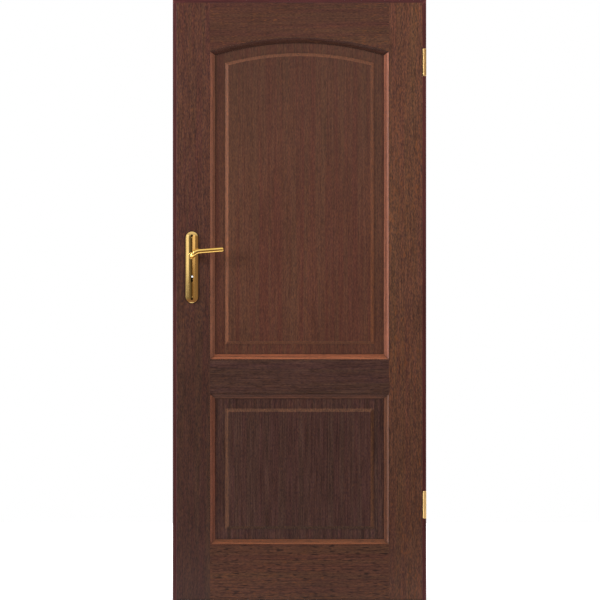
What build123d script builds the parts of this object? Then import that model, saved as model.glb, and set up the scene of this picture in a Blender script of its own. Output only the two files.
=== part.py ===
"""Panelled door with its frame: stiles, rails, raised panels and beads, mortise lock, levers and hinges."""

import os
from math import asin, cos, degrees, radians, sin, sqrt

from build123d import *

os.makedirs("parts", exist_ok=True)

# +X runs to the right, +Y into the wall and +Z up. The origin is on the floor, at the middle of the
# frame's width and of the leaf's thickness. The leaf hangs on the right and opens towards -Y.

# Leaf
leaf_width = 844
leaf_height = 2052
leaf_thickness = 40
lip_width = 13
lip_thickness = 14.5
floor_gap = 4
stile_width = 115
crown_rail_height = 120
mid_rail_height = 117
bottom_rail_height = 193
lower_opening_height = 518
arch_rise = 47
leaf_arris = 1.5

# Grooves, tongues and dowels that hold the leaf together
groove_depth = 14
tongue_length = 12
border_thickness = 18
groove_play = 0.2
dowel_diameter = 12
dowel_length = 100
dowel_edge = 38
dowel_play = 0.1

# Raised field of the panels
field_inset = 52
bevel_width = 11
field_rise = 6

# Planted beads round the panels: a cove, a small quirk and a sloping toe
bead_width = 17.5
bead_drop = 0.8
bead_edge = 1
bead_cove_width = 7.5
bead_cove_low = 5
bead_cove_angle = 18
bead_quirk = 0.8
bead_toe = 1.2
glue_line = 0.1

# Frame and its seals
frame_reveal = 13.5
frame_depth = 80
stop_width = 12
lip_gap = 0.6
edge_gap = 3
seal_room = 4
frame_arris = 1
seal_stem_width = 3
seal_stem_length = 6
seal_head_width = 7
seal_gap = 0.3
seal_play = 0.2
fixing_radius = 5
fixing_head_radius = 8
fixing_head_depth = 6
fixing_shares = (0.07, 0.36, 0.65, 0.94)

# Wood screws: shank radius, head radius and head height, with the play of their holes
screw_radius = 2
screw_head_radius = 4
screw_head_height = 2.2
screw_play = 0.1
corner_screw_length = 60
corner_screw_shares = (0.25, 0.7)

# Hinges
barrel_radius = 6.5
barrel_length = 94
barrel_gap = 0.6
barrel_standoff = 4.6
barrel_round = 1.5
washer_thickness = 1
washer_play = 0.1
pin_radius = 3.5
pin_length = 70
pin_grip = 0.02
pin_play = 0.06
stud_radius = 3.5
stud_length = 42
stud_slant = 20
stud_play = 0.15
stud_shares = (0.3, 0.76)
upper_hinge_drop = 204
lower_hinge_rise = 329

# Mortise lock
spindle_height = 1188
backset = 40
key_pitch = 72
forend_width = 20
forend_height = 200
forend_above = 65
forend_thickness = 3
forend_screw_edge = 8
forend_screw_length = 26
case_thickness = 15
case_wall = 1.5
case_depth = 66
case_above = 48
case_below = 118
lock_play = 0.4
key_radius = 4.8
key_slot_width = 6.6
key_slot_drop = 19
key_room = 2
key_pin_radius = 3.6
key_bit_width = 2.4
key_bit_shift = 1.3
key_bit_drop = 16
spindle_bore_radius = 10

# Latch bolt, dead bolt and follower
latch_height = 24
latch_above = 17
latch_throw = 11
latch_head_length = 22
latch_tip = 2
tail_height = 10
tail_length = 37
tail_slot_width = 6
tail_lug = 4.7
slide_play = 0.3
bolt_thickness = 10
bolt_height = 28
bolt_below = 50
bolt_throw = 20
bolt_head_length = 24
bolt_tail_length = 39
bolt_tail_height = 16
bolt_tail_thickness = 4
bolt_post_radius = 2.5
bolt_post_inset = 7
bolt_notch_width = 8
bolt_notch_depth = 4
hub_radius = 11
journal_radius = 8.3
hub_play = 0.1
arm_reach = 17
arm_half_width = 3
arm_thickness = 5.2
lower_arm_thickness = 10
spring_thickness = 0.8
spring_width = 8

# Strike plate
strike_width = 20
strike_thickness = 2
strike_above = 52
strike_below = 92
strike_corner = 4
strike_room = 1.2
strike_pocket = 19
strike_screw_edge = 9
strike_screw_length = 18

# Lever handles
plate_width = 43
plate_length = 245
plate_above = 82.5
plate_rim = 2.5
plate_crown = 7.5
plate_wall = 1.8
plate_screw_end = 14
plate_screw_sink = 1.7
plate_boss_radius = 5.5
plate_screw_length = 23
bush_radius = 11
bush_length = 6
bush_play = 0.1
neck_radius = 9
neck_play = 0.15
neck_length = 32
neck_gap = 0.5
collar_radius = 11.5
collar_height = 5
collar_gap = 0.5
collar_round = 1.6
grip_radius = 8.5
neck_bend = 15
grip_bend = 32
grip_length = 82.5
grip_end_round = 6
rise_angle = 35
grip_angle = 4.5
spindle_size = 8
spindle_length = 94
spindle_play = 0.1
grub_radius = 2.5
grub_length = 4.6
grub_play = 0.1
grub_share = 0.25

# Cuts run past the surface by this much
overrun = 5

# Places worked out from the sizes
leaf_half = leaf_width / 2
front = -leaf_thickness / 2
back = leaf_thickness / 2
lip_back = front + lip_thickness
body_half = leaf_half - lip_width
opening_half = leaf_half - stile_width
leaf_bottom = floor_gap
leaf_top = leaf_bottom + leaf_height
body_top = leaf_top - lip_width
lower_bottom = leaf_bottom + bottom_rail_height
lower_top = lower_bottom + lower_opening_height
upper_bottom = lower_top + mid_rail_height
crown = leaf_top - crown_rail_height
spring_line = crown - arch_rise
arch_radius = (opening_half**2 + arch_rise**2) / (2 * arch_rise)
arch_centre = crown - arch_radius
border_half = border_thickness / 2
groove_half = border_half + groove_play
tongue_reach = opening_half + tongue_length

frame_half = leaf_half + frame_reveal
frame_top = leaf_top + frame_reveal
face = lip_back + lip_gap
stop_face = back + seal_room
frame_back = face + frame_depth
rebate_inset = frame_reveal + lip_width - edge_gap
stop_inset = rebate_inset + stop_width
rebate_half = frame_half - rebate_inset
seal_inset = (stop_inset + frame_reveal + lip_width) / 2

hinge_x = leaf_half + barrel_gap + barrel_radius
hinge_y = face - barrel_standoff - barrel_radius
leaf_stud_way = (-cos(radians(stud_slant)), sin(radians(stud_slant)), 0)
hinge_heights = {"upper": leaf_top - upper_hinge_drop, "lower": leaf_bottom + lower_hinge_rise}

forend_face = -body_half
case_front = forend_face + forend_thickness
case_back = case_front + case_depth
spindle_x = forend_face + backset
lock_y = (lip_back + back) / 2
key_height = spindle_height - key_pitch
latch_height_centre = spindle_height + latch_above
bolt_height_centre = spindle_height - bolt_below
case_half = case_thickness / 2
room_half = case_half - case_wall
forend_top = spindle_height + forend_above
forend_low = forend_top - forend_height
case_top = spindle_height + case_above
case_low = spindle_height - case_below
strike_top = spindle_height + strike_above
strike_low = spindle_height - strike_below
plate_top = spindle_height + plate_above
plate_low = plate_top - plate_length
plate_screw_face = front - plate_crown + plate_screw_sink
collar_face = front - plate_crown - collar_gap
grub_y = collar_face - collar_height - grub_share * neck_length
grub_top = spindle_height - spindle_size / 2

# Each rail's dowels lie the same distance in from its two edges
dowel_heights = [
    height
    for low, high in ((leaf_bottom, lower_bottom), (lower_top, upper_bottom), (spring_line, body_top))
    for height in (low + dowel_edge, high - dowel_edge)
]


def keep(part, name):
    """Label a finished piece and write it to its own file."""
    part.label = name
    export_step(part, f"parts/{name}.step")


def span(a, b):
    """Two limits in rising order."""
    return min(a, b), max(a, b)


def about(centre, size):
    """The limits of a size that lies evenly about a centre."""
    return centre - size / 2, centre + size / 2


def block(x_span, y_span, z_span, mode=Mode.ADD):
    """A box between two limits on each axis."""
    spans = (x_span, y_span, z_span)
    with Locations(tuple(sum(limits) / 2 for limits in spans)):
        Box(*(high - low for low, high in spans), mode=mode)


def rod(start, direction, radius, length, mode=Mode.ADD):
    """A round bar that leaves a point along a direction."""
    with Locations(Plane(origin=start, z_dir=direction)):
        Cylinder(radius, length, align=(Align.CENTER, Align.CENTER, Align.MIN), mode=mode)


def screw(start, direction, length):
    """A countersunk wood screw whose flat head lies at a point, driven along a direction."""
    axis = Vector(direction)
    with BuildPart() as fastener:
        rod(start, axis, screw_radius, length)
        with Locations(Plane(origin=start, z_dir=axis)):
            Cone(
                screw_head_radius,
                screw_radius,
                screw_head_height,
                align=(Align.CENTER, Align.CENTER, Align.MIN),
            )
    return fastener.part


def screw_hole(start, direction, length):
    """Clears a countersunk screw, head and shank, from the part being built."""
    axis = Vector(direction)
    rod(start, axis, screw_radius + screw_play, length + screw_play, Mode.SUBTRACT)
    with Locations(Plane(origin=Vector(start) - axis * screw_play, z_dir=axis)):
        Cone(
            screw_head_radius + 2 * screw_play,
            screw_radius + screw_play,
            screw_head_height + 2 * screw_play,
            align=(Align.CENTER, Align.CENTER, Align.MIN),
            mode=Mode.SUBTRACT,
        )


def arch_height(inset):
    """Height at which the arch, drawn in by an inset, meets the sides drawn in alike."""
    return arch_centre + sqrt((arch_radius - inset) ** 2 - (opening_half - inset) ** 2)


def opening_outline(inset, bottom, arched):
    """Outline of a panel opening drawn in by an inset, in X and height."""
    half = opening_half - inset
    low = bottom + inset
    high = arch_height(inset) if arched else lower_top - inset
    with BuildSketch() as outline:
        with BuildLine():
            Polyline((half, high), (half, low), (-half, low), (-half, high))
            if arched:
                ThreePointArc((-half, high), (0, crown - inset), (half, high))
            else:
                Line((-half, high), (half, high))
        make_face()
    return outline.sketch


def stile_blank(side):
    """A stile: lip on its outer edge, groove along its inner edge, dowel holes."""
    with BuildPart() as stile:
        with BuildSketch(Plane.XY.offset(leaf_bottom)) as plan:
            with BuildLine():
                Polyline(
                    (side * leaf_half, front),
                    (side * leaf_half, lip_back),
                    (side * body_half, lip_back),
                    (side * body_half, back),
                    (side * opening_half, back),
                    (side * opening_half, groove_half),
                    (side * (opening_half + groove_depth), groove_half),
                    (side * (opening_half + groove_depth), -groove_half),
                    (side * opening_half, -groove_half),
                    (side * opening_half, front),
                    close=True,
                )
            make_face()
            fillet(plan.vertices().sort_by_distance((side * leaf_half, front))[0], leaf_arris)
        extrude(amount=leaf_height)
        block(
            span(side * leaf_half, side * opening_half),
            (lip_back, back),
            (body_top, leaf_top),
            Mode.SUBTRACT,
        )
        for height in dowel_heights:
            rod(
                (side * opening_half, 0, height),
                (side, 0, 0),
                dowel_diameter / 2 + dowel_play,
                dowel_length / 2 + dowel_play,
                Mode.SUBTRACT,
            )
    return stile.part


def rail_ends(low, high):
    """Stub tongues at a rail's ends, which fill the stiles' grooves."""
    for side in (-1, 1):
        block(span(side * opening_half, side * tongue_reach), (-border_half, border_half), (low, high))


def rail_dowel_holes(low, high):
    """Dowel holes in both ends of a rail that lies between two heights."""
    for height in (low + dowel_edge, high - dowel_edge):
        for side in (-1, 1):
            rod(
                (side * (tongue_reach + overrun), 0, height),
                (-side, 0, 0),
                dowel_diameter / 2 + dowel_play,
                dowel_length / 2 + dowel_play + tongue_length + overrun,
                Mode.SUBTRACT,
            )


def straight_groove(low, high):
    """The groove that takes a panel's edge, cut along the whole of a rail."""
    reach = tongue_reach + overrun
    block((-reach, reach), (-groove_half, groove_half), (low, high), Mode.SUBTRACT)


def raised_panel(bottom, arched):
    """A panel with a flat border and a raised field, alike on both faces."""
    with BuildPart() as panel:
        with BuildSketch(Plane.XZ):
            add(opening_outline(-tongue_length, bottom, arched))
        extrude(amount=border_half)
        with BuildSketch(Plane.XZ.offset(border_half)):
            add(opening_outline(field_inset, bottom, arched))
        with BuildSketch(Plane.XZ.offset(border_half + field_rise)):
            add(opening_outline(field_inset + bevel_width, bottom, arched))
        loft(ruled=True)
        mirror(about=Plane.XZ)
    return panel.part


def bead_section():
    """Section of a planted bead: X into the opening from its edge, Y off the panel's border."""
    crest = back - border_half - bead_drop
    cove_start = (glue_line + bead_edge, crest)
    cove_end = (glue_line + bead_edge + bead_cove_width, bead_cove_low)
    cove_slope = (-cos(radians(bead_cove_angle)), sin(radians(bead_cove_angle)))
    with BuildSketch() as section:
        with BuildLine():
            TangentArc(cove_end, cove_start, tangent=cove_slope)
            Polyline(
                cove_start,
                (glue_line, crest),
                (glue_line, 0),
                (bead_width, 0),
                (bead_width, bead_toe),
                (cove_end[0], bead_cove_low - bead_quirk),
                cove_end,
            )
        make_face()
    return section.sketch


def corner(bottom, arched, side, end, inset):
    """A corner of a panel opening drawn in by an inset."""
    x = side * (opening_half - inset)
    if end == "bottom":
        return Vector(x, 0, bottom + inset)
    return Vector(x, 0, arch_height(inset) if arched else lower_top - inset)


def mitre(outer, inner, kept):
    """The plane through both ends of a mitre, facing the side that is kept."""
    normal = (inner - outer).cross(Vector(0, 1, 0))
    facing = normal if normal.dot(kept - outer) > 0 else normal * -1
    return Plane(origin=outer, z_dir=facing)


def bead_mitre(bottom, arched, side, end, kept):
    """The mitre plane of the beads at one corner of a panel opening."""
    outer = corner(bottom, arched, side, end, 0)
    inner = corner(bottom, arched, side, end, bead_width)
    return mitre(outer, inner, kept)


def side_bead(bottom, arched, side):
    """The upright bead on one side of a panel opening, on the front."""
    high = spring_line if arched else lower_top
    middle = (bottom + high) / 2
    kept = Vector(side * opening_half, 0, middle)
    plane = Plane(
        origin=(side * opening_half, -border_half, middle), x_dir=(-side, 0, 0), z_dir=(0, 0, side)
    )
    with BuildPart() as bead:
        with BuildSketch(plane):
            add(bead_section())
        extrude(amount=(high - bottom) / 2 + bead_width, both=True)
        for end in ("bottom", "top"):
            split(bisect_by=bead_mitre(bottom, arched, side, end, kept), keep=Keep.TOP)
    return bead.part


def level_bead(bottom, arched, end):
    """The straight bead along the bottom or top of a panel opening, on the front."""
    height = bottom if end == "bottom" else lower_top
    inward = 1 if end == "bottom" else -1
    plane = Plane(origin=(0, -border_half, height), x_dir=(0, 0, inward), z_dir=(inward, 0, 0))
    with BuildPart() as bead:
        with BuildSketch(plane):
            add(bead_section())
        extrude(amount=opening_half + overrun, both=True)
        for side in (-1, 1):
            split(bisect_by=bead_mitre(bottom, arched, side, end, Vector(0, 0, height)), keep=Keep.TOP)
    return bead.part


def arch_bead(bottom):
    """The bead under the arched rail: the same section turned about the arch's centre, on the front."""
    reach = opening_half + bead_width
    turn = asin(reach / arch_radius)
    out = Vector(-sin(turn), 0, cos(turn))
    plane = Plane(
        origin=Vector(0, -border_half, arch_centre) + out * arch_radius,
        x_dir=out * -1,
        z_dir=(-out.Z, 0, out.X),
    )
    with BuildPart() as bead:
        with BuildSketch(plane):
            add(bead_section())
        revolve(axis=Axis((0, 0, arch_centre), (0, 1, 0)), revolution_arc=degrees(2 * turn))
        for side in (-1, 1):
            split(bisect_by=bead_mitre(bottom, True, side, "top", Vector(0, 0, crown)), keep=Keep.TOP)
    return bead.part


def frame_section():
    """Section of the frame: X in from its outer face, Y into the wall."""
    with BuildSketch() as section:
        with BuildLine():
            Polyline(
                (0, face),
                (rebate_inset, face),
                (rebate_inset, stop_face),
                (stop_inset, stop_face),
                (stop_inset, frame_back),
                (0, frame_back),
                close=True,
            )
        make_face()
        edges = ((0, face), (rebate_inset, face), (stop_inset, stop_face), (stop_inset, frame_back))
        fillet([section.vertices().sort_by_distance(edge)[0] for edge in edges], frame_arris)
        with Locations((seal_inset, stop_face)):
            Rectangle(
                seal_stem_width + 2 * seal_play,
                seal_stem_length + seal_play,
                align=(Align.CENTER, Align.MIN),
                mode=Mode.SUBTRACT,
            )
    return section.sketch


def seal_section():
    """Section of a seal: a stem in the frame's groove and a round head that meets the leaf."""
    reach = seal_head_width / 2
    with BuildSketch() as section:
        with BuildLine():
            Line((seal_inset - reach, stop_face), (seal_inset + reach, stop_face))
            ThreePointArc(
                (seal_inset - reach, stop_face),
                (seal_inset, back + seal_gap),
                (seal_inset + reach, stop_face),
            )
        make_face()
        with Locations((seal_inset, stop_face)):
            Rectangle(seal_stem_width, seal_stem_length, align=(Align.CENTER, Align.MIN))
    return section.sketch


def frame_member(section, side):
    """A length of the frame or its seal: side -1 or 1 for an upright, 0 for the head, mitred at the top."""
    if side:
        plane = Plane(origin=(side * frame_half, 0, 0), x_dir=(-side, 0, 0), z_dir=(0, 0, -side))
        kept = Vector(side * frame_half, 0, 0)
    else:
        plane = Plane(origin=(0, 0, frame_top), x_dir=(0, 0, -1), z_dir=(1, 0, 0))
        kept = Vector(0, 0, frame_top)
    with BuildPart() as member:
        with BuildSketch(plane):
            add(section)
        if side:
            extrude(amount=-side * frame_top)
        else:
            extrude(amount=frame_half, both=True)
        ends = (side,) if side else (-1, 1)
        for end in ends:
            outer = Vector(end * frame_half, 0, frame_top)
            inner = Vector(end * (frame_half - stop_inset), 0, frame_top - stop_inset)
            split(bisect_by=mitre(outer, inner, kept), keep=Keep.TOP)
    return member.part


def corner_screw_starts(side):
    """Where the screws that close a frame corner enter the head."""
    x = side * (frame_half - rebate_inset / 2)
    return [(x, face + share * frame_depth, frame_top) for share in corner_screw_shares]


def frame_fixings(side):
    """Counterbored holes through a jamb's rebate, for the screws that fix it to a wall."""
    places = [
        Plane(
            origin=(side * rebate_half, (face + stop_face) / 2, share * frame_top),
            z_dir=(-side, 0, 0),
        )
        for share in fixing_shares
    ]
    with Locations(*places):
        CounterBoreHole(fixing_radius, fixing_head_radius, fixing_head_depth)


def keyhole(radius, width, drop, shift):
    """Outline of a keyhole: a round hole over a slot with a round end, shifted aside, in X and height."""
    slot_x = spindle_x + shift
    with BuildSketch() as outline:
        with Locations((spindle_x, key_height)):
            Circle(radius)
        with Locations((slot_x, key_height)):
            Rectangle(width, drop - width / 2, align=(Align.CENTER, Align.MAX))
        with Locations((slot_x, key_height - drop + width / 2)):
            Circle(width / 2)
    return outline.sketch


def plate_half_section(inset):
    """Right half of a handle plate's curved section, drawn in by an inset, with X from its middle."""
    half = plate_width / 2 - inset
    rim = front - plate_rim + inset
    crest = front - plate_crown + inset
    with BuildSketch() as section:
        with BuildLine():
            TangentArc((0, crest), (half, rim), tangent=(1, 0))
            Polyline((half, rim), (half, front), (0, front), (0, crest))
        make_face()
    return section.sketch


def plate_dome(inset):
    """A long plate with round ends and a curved face, drawn in by an inset, on the leaf's front."""
    low = Plane(origin=(spindle_x, 0, plate_low + plate_width / 2))
    high = Plane(origin=(spindle_x, 0, plate_top - plate_width / 2))
    with BuildPart() as dome:
        with BuildSketch(low):
            add(plate_half_section(inset))
            mirror(about=Plane.YZ)
        extrude(amount=plate_length - plate_width)
        for end, turn in ((high, -180), (low, 180)):
            with BuildSketch(end):
                add(plate_half_section(inset))
            revolve(axis=Axis(end.origin, (0, 1, 0)), revolution_arc=turn)
    return dome.part


def plate_screw_heights():
    """Heights of the two screws of a handle plate."""
    return plate_top - plate_screw_end, plate_low + plate_screw_end


def handle_plate():
    """The front handle plate: a pressed brass shell with screw bosses, a bush hole and a keyhole."""
    with BuildPart() as hollow:
        add(plate_dome(plate_wall))
        for height in plate_screw_heights():
            rod((spindle_x, front, height), (0, -1, 0), plate_boss_radius, plate_crown, Mode.SUBTRACT)
    with BuildPart() as plate:
        add(plate_dome(0))
        add(hollow.part, mode=Mode.SUBTRACT)
        for height in plate_screw_heights():
            head = (spindle_x, plate_screw_face, height)
            screw_hole(head, (0, 1, 0), plate_screw_length)
            rod(head, (0, -1, 0), screw_head_radius + 2 * screw_play, plate_crown, Mode.SUBTRACT)
        bush_bore = bush_radius + bush_play
        rod((spindle_x, front, spindle_height), (0, -1, 0), bush_bore, plate_crown, Mode.SUBTRACT)
        with BuildSketch(Plane.XZ.offset(-front)):
            add(keyhole(key_radius, key_slot_width, key_slot_drop, 0))
        extrude(amount=plate_crown, mode=Mode.SUBTRACT)
    return plate.part


def lever():
    """The front lever: a round bar from its neck through a tight bend to a rising, then level grip."""
    base = Vector(spindle_x, front - neck_gap, spindle_height)
    out = Vector(0, -1, 0)
    rise = Vector(cos(radians(rise_angle)), 0, sin(radians(rise_angle)))
    level = Vector(cos(radians(grip_angle)), 0, sin(radians(grip_angle)))
    rise_side = Vector(rise.Z, 0, -rise.X)
    level_side = Vector(level.Z, 0, -level.X)
    bend_start = base + out * neck_length
    bend_end = bend_start + out * neck_bend + rise * neck_bend
    grip_start = bend_end + (rise_side - level_side) * grip_bend
    with BuildPart() as handle:
        with BuildLine() as path:
            Line(base, bend_start)
            TangentArc(bend_start, bend_end, tangent=out)
            TangentArc(bend_end, grip_start, tangent=rise)
            Line(grip_start, grip_start + level * grip_length)
        with BuildSketch(Plane(origin=base, z_dir=out)):
            Circle(grip_radius)
        sweep(path=path.line)
        fillet(handle.edges().filter_by(GeomType.CIRCLE).sort_by(Axis.X)[-1], grip_end_round)
        rod(base, out, neck_radius, plate_crown + collar_gap + collar_height)
        rod((spindle_x, collar_face, spindle_height), out, collar_radius, collar_height)
        fillet(
            handle.edges().filter_by(GeomType.CIRCLE).filter_by(lambda e: e.radius == collar_radius),
            collar_round,
        )
        hole = spindle_size / 2 + spindle_play
        block(
            (spindle_x - hole, spindle_x + hole),
            (-spindle_length / 2 - spindle_play, front),
            (spindle_height - hole, spindle_height + hole),
            Mode.SUBTRACT,
        )
        grub_bore = grub_radius + grub_play
        rod((spindle_x, grub_y, grub_top), (0, 0, -1), grub_bore, collar_radius, Mode.SUBTRACT)
    return handle.part


# Panels
keep(raised_panel(upper_bottom, True), "upper_panel")
keep(raised_panel(lower_bottom, False), "lower_panel")

# Beads: four mitred lengths round each panel, on the front and again on the back
for panel_name, panel_bottom in (("upper", upper_bottom), ("lower", lower_bottom)):
    panel_arched = panel_name == "upper"
    beads = {
        "left": side_bead(panel_bottom, panel_arched, -1),
        "right": side_bead(panel_bottom, panel_arched, 1),
        "bottom": level_bead(panel_bottom, panel_arched, "bottom"),
        "top": arch_bead(panel_bottom) if panel_arched else level_bead(panel_bottom, panel_arched, "top"),
    }
    for edge_name, bead_part in beads.items():
        keep(bead_part, f"{panel_name}_{edge_name}_bead_front")
        keep(mirror(bead_part, about=Plane.XZ), f"{panel_name}_{edge_name}_bead_back")

# Top rail: arched below, lipped above
with BuildPart() as top_rail:
    with BuildSketch(Plane.XZ):
        with BuildLine():
            Polyline(
                (-opening_half, spring_line),
                (-opening_half, leaf_top),
                (opening_half, leaf_top),
                (opening_half, spring_line),
            )
            ThreePointArc((opening_half, spring_line), (0, crown), (-opening_half, spring_line))
        make_face()
    extrude(amount=leaf_thickness / 2, both=True)
    fillet(top_rail.edges().filter_by(Axis.X).group_by(Axis.Y)[0], leaf_arris)
    rail_ends(spring_line, leaf_top)
    with BuildSketch(Plane.XZ):
        add(opening_outline(-groove_depth, upper_bottom, True))
    extrude(amount=groove_half, both=True, mode=Mode.SUBTRACT)
    block((-leaf_half, leaf_half), (lip_back, back), (body_top, leaf_top), Mode.SUBTRACT)
    rail_dowel_holes(spring_line, body_top)
keep(top_rail.part, "top_rail")

# Middle rail: grooved on both edges
with BuildPart() as mid_rail:
    block((-opening_half, opening_half), (front, back), (lower_top, upper_bottom))
    rail_ends(lower_top, upper_bottom)
    straight_groove(upper_bottom - groove_depth, upper_bottom)
    straight_groove(lower_top, lower_top + groove_depth)
    rail_dowel_holes(lower_top, upper_bottom)
keep(mid_rail.part, "mid_rail")

# Bottom rail: grooved on its upper edge
with BuildPart() as bottom_rail:
    block((-opening_half, opening_half), (front, back), (leaf_bottom, lower_bottom))
    rail_ends(leaf_bottom, lower_bottom)
    straight_groove(lower_bottom - groove_depth, lower_bottom)
    rail_dowel_holes(leaf_bottom, lower_bottom)
keep(bottom_rail.part, "bottom_rail")

# Dowels: two at each end of each rail
with BuildPart() as rail_dowels:
    for dowel_side in (-1, 1):
        for dowel_height in dowel_heights:
            rod(
                (dowel_side * (opening_half - dowel_length / 2), 0, dowel_height),
                (dowel_side, 0, 0),
                dowel_diameter / 2,
                dowel_length,
            )
keep(rail_dowels.part, "rail_dowels")

# Hinge stile, drilled at a slant through its lip's edge for the hinges' studs
with BuildPart() as hinge_stile:
    add(stile_blank(1))
    for hinge_height in hinge_heights.values():
        for stud_share in stud_shares:
            rod(
                (hinge_x, hinge_y, hinge_height + stud_share * barrel_length / 2),
                leaf_stud_way,
                stud_radius + stud_play,
                stud_length + stud_play,
                Mode.SUBTRACT,
            )
keep(hinge_stile.part, "hinge_stile")

# Lock stile, mortised for the lock and bored for the spindle, the key and the screws
with BuildPart() as lock_stile:
    add(stile_blank(-1))
    block(
        (forend_face, case_back + lock_play),
        about(lock_y, case_thickness + 2 * lock_play),
        (case_low - lock_play, case_top + lock_play),
        Mode.SUBTRACT,
    )
    block(
        (forend_face, case_front),
        about(lock_y, forend_width + 2 * lock_play),
        (forend_low - lock_play, forend_top + lock_play),
        Mode.SUBTRACT,
    )
    rod((spindle_x, front, spindle_height), (0, 1, 0), spindle_bore_radius, leaf_thickness, Mode.SUBTRACT)
    with BuildSketch(Plane.XZ):
        add(keyhole(key_radius + key_room, key_slot_width + 2 * key_room, key_slot_drop + key_room, 0))
    extrude(amount=leaf_thickness / 2, both=True, mode=Mode.SUBTRACT)
    for screw_height in (forend_top - forend_screw_edge, forend_low + forend_screw_edge):
        screw_hole((forend_face, lock_y, screw_height), (1, 0, 0), forend_screw_length)
    for screw_height in plate_screw_heights():
        screw_hole((spindle_x, plate_screw_face, screw_height), (0, 1, 0), plate_screw_length)
        screw_hole((spindle_x, -plate_screw_face, screw_height), (0, -1, 0), plate_screw_length)
keep(lock_stile.part, "lock_stile")

# Frame: two jambs and a head of one section, mitred and screwed at the top corners
with BuildPart() as hinge_jamb:
    add(frame_member(frame_section(), 1))
    frame_fixings(1)
    for hinge_height in hinge_heights.values():
        for stud_share in stud_shares:
            rod(
                (hinge_x, hinge_y, hinge_height - stud_share * barrel_length / 2),
                (0, 1, 0),
                stud_radius + stud_play,
                stud_length + stud_play,
                Mode.SUBTRACT,
            )
    for screw_start in corner_screw_starts(1):
        screw_hole(screw_start, (0, 0, -1), corner_screw_length)
keep(hinge_jamb.part, "hinge_jamb")

with BuildPart() as lock_jamb:
    add(frame_member(frame_section(), -1))
    frame_fixings(-1)
    block(
        (-rebate_half - strike_thickness, -rebate_half),
        about(lock_y, strike_width + 2 * lock_play),
        (strike_low - lock_play, strike_top + lock_play),
        Mode.SUBTRACT,
    )
    for pocket_centre, pocket_height in (
        (latch_height_centre, latch_height),
        (bolt_height_centre, bolt_height),
    ):
        block(
            (-rebate_half - strike_pocket, -rebate_half),
            about(lock_y, 2 * room_half + 2 * slide_play),
            about(pocket_centre, pocket_height + 2 * strike_room),
            Mode.SUBTRACT,
        )
    for screw_height in (strike_top - strike_screw_edge, strike_low + strike_screw_edge):
        screw_hole((-rebate_half, lock_y, screw_height), (-1, 0, 0), strike_screw_length)
    for screw_start in corner_screw_starts(-1):
        screw_hole(screw_start, (0, 0, -1), corner_screw_length)
keep(lock_jamb.part, "lock_jamb")

with BuildPart() as frame_head:
    add(frame_member(frame_section(), 0))
    for screw_start in corner_screw_starts(1) + corner_screw_starts(-1):
        screw_hole(screw_start, (0, 0, -1), corner_screw_length)
keep(frame_head.part, "frame_head")

with BuildPart() as corner_screws:
    for screw_start in corner_screw_starts(1) + corner_screw_starts(-1):
        add(screw(screw_start, (0, 0, -1), corner_screw_length))
keep(corner_screws.part, "corner_screws")

# Seals in the frame's groove
keep(frame_member(seal_section(), 1), "hinge_side_seal")
keep(frame_member(seal_section(), -1), "lock_side_seal")
keep(frame_member(seal_section(), 0), "head_seal")

# Strike plate, let into the lock jamb
strike_middle = (strike_top + strike_low) / 2
with BuildPart() as strike_plate:
    with BuildSketch(Plane(origin=(-rebate_half, lock_y, strike_middle), x_dir=(0, 1, 0), z_dir=(1, 0, 0))):
        RectangleRounded(strike_width, strike_top - strike_low, strike_corner)
        strike_opening = 2 * room_half + 2 * slide_play
        with Locations((0, latch_height_centre - strike_middle)):
            Rectangle(strike_opening, latch_height + 2 * strike_room, mode=Mode.SUBTRACT)
        with Locations((0, bolt_height_centre - strike_middle)):
            Rectangle(strike_opening, bolt_height + 2 * strike_room, mode=Mode.SUBTRACT)
    extrude(amount=-strike_thickness)
    for screw_height in (strike_top - strike_screw_edge, strike_low + strike_screw_edge):
        screw_hole((-rebate_half, lock_y, screw_height), (-1, 0, 0), strike_screw_length)
keep(strike_plate.part, "strike_plate")

with BuildPart() as strike_screws:
    for screw_height in (strike_top - strike_screw_edge, strike_low + strike_screw_edge):
        add(screw((-rebate_half, lock_y, screw_height), (-1, 0, 0), strike_screw_length))
keep(strike_screws.part, "strike_screws")

# Hinges: a lower knuckle on the frame, an upper one on the leaf, each with two studs
knuckle_length = (barrel_length - washer_thickness) / 2
for hinge_name, hinge_height in hinge_heights.items():
    with BuildPart() as frame_knuckle:
        rod((hinge_x, hinge_y, hinge_height - barrel_length / 2), (0, 0, 1), barrel_radius, knuckle_length)
        fillet(frame_knuckle.edges().filter_by(GeomType.CIRCLE).sort_by(Axis.Z)[0], barrel_round)
        for stud_share in stud_shares:
            rod(
                (hinge_x, hinge_y, hinge_height - stud_share * barrel_length / 2),
                (0, 1, 0),
                stud_radius,
                stud_length,
            )
        rod(
            (hinge_x, hinge_y, hinge_height - pin_length / 2 - pin_play),
            (0, 0, 1),
            pin_radius + pin_grip,
            pin_length,
            Mode.SUBTRACT,
        )
    keep(frame_knuckle.part, f"{hinge_name}_frame_knuckle")
    with BuildPart() as leaf_knuckle:
        rod(
            (hinge_x, hinge_y, hinge_height + barrel_length / 2),
            (0, 0, -1),
            barrel_radius,
            knuckle_length - washer_play,
        )
        fillet(leaf_knuckle.edges().filter_by(GeomType.CIRCLE).sort_by(Axis.Z)[-1], barrel_round)
        for stud_share in stud_shares:
            rod(
                (hinge_x, hinge_y, hinge_height + stud_share * barrel_length / 2),
                leaf_stud_way,
                stud_radius,
                stud_length,
            )
        rod(
            (hinge_x, hinge_y, hinge_height + pin_length / 2 + pin_play),
            (0, 0, -1),
            pin_radius + pin_play,
            pin_length,
            Mode.SUBTRACT,
        )
    keep(leaf_knuckle.part, f"{hinge_name}_leaf_knuckle")

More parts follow.
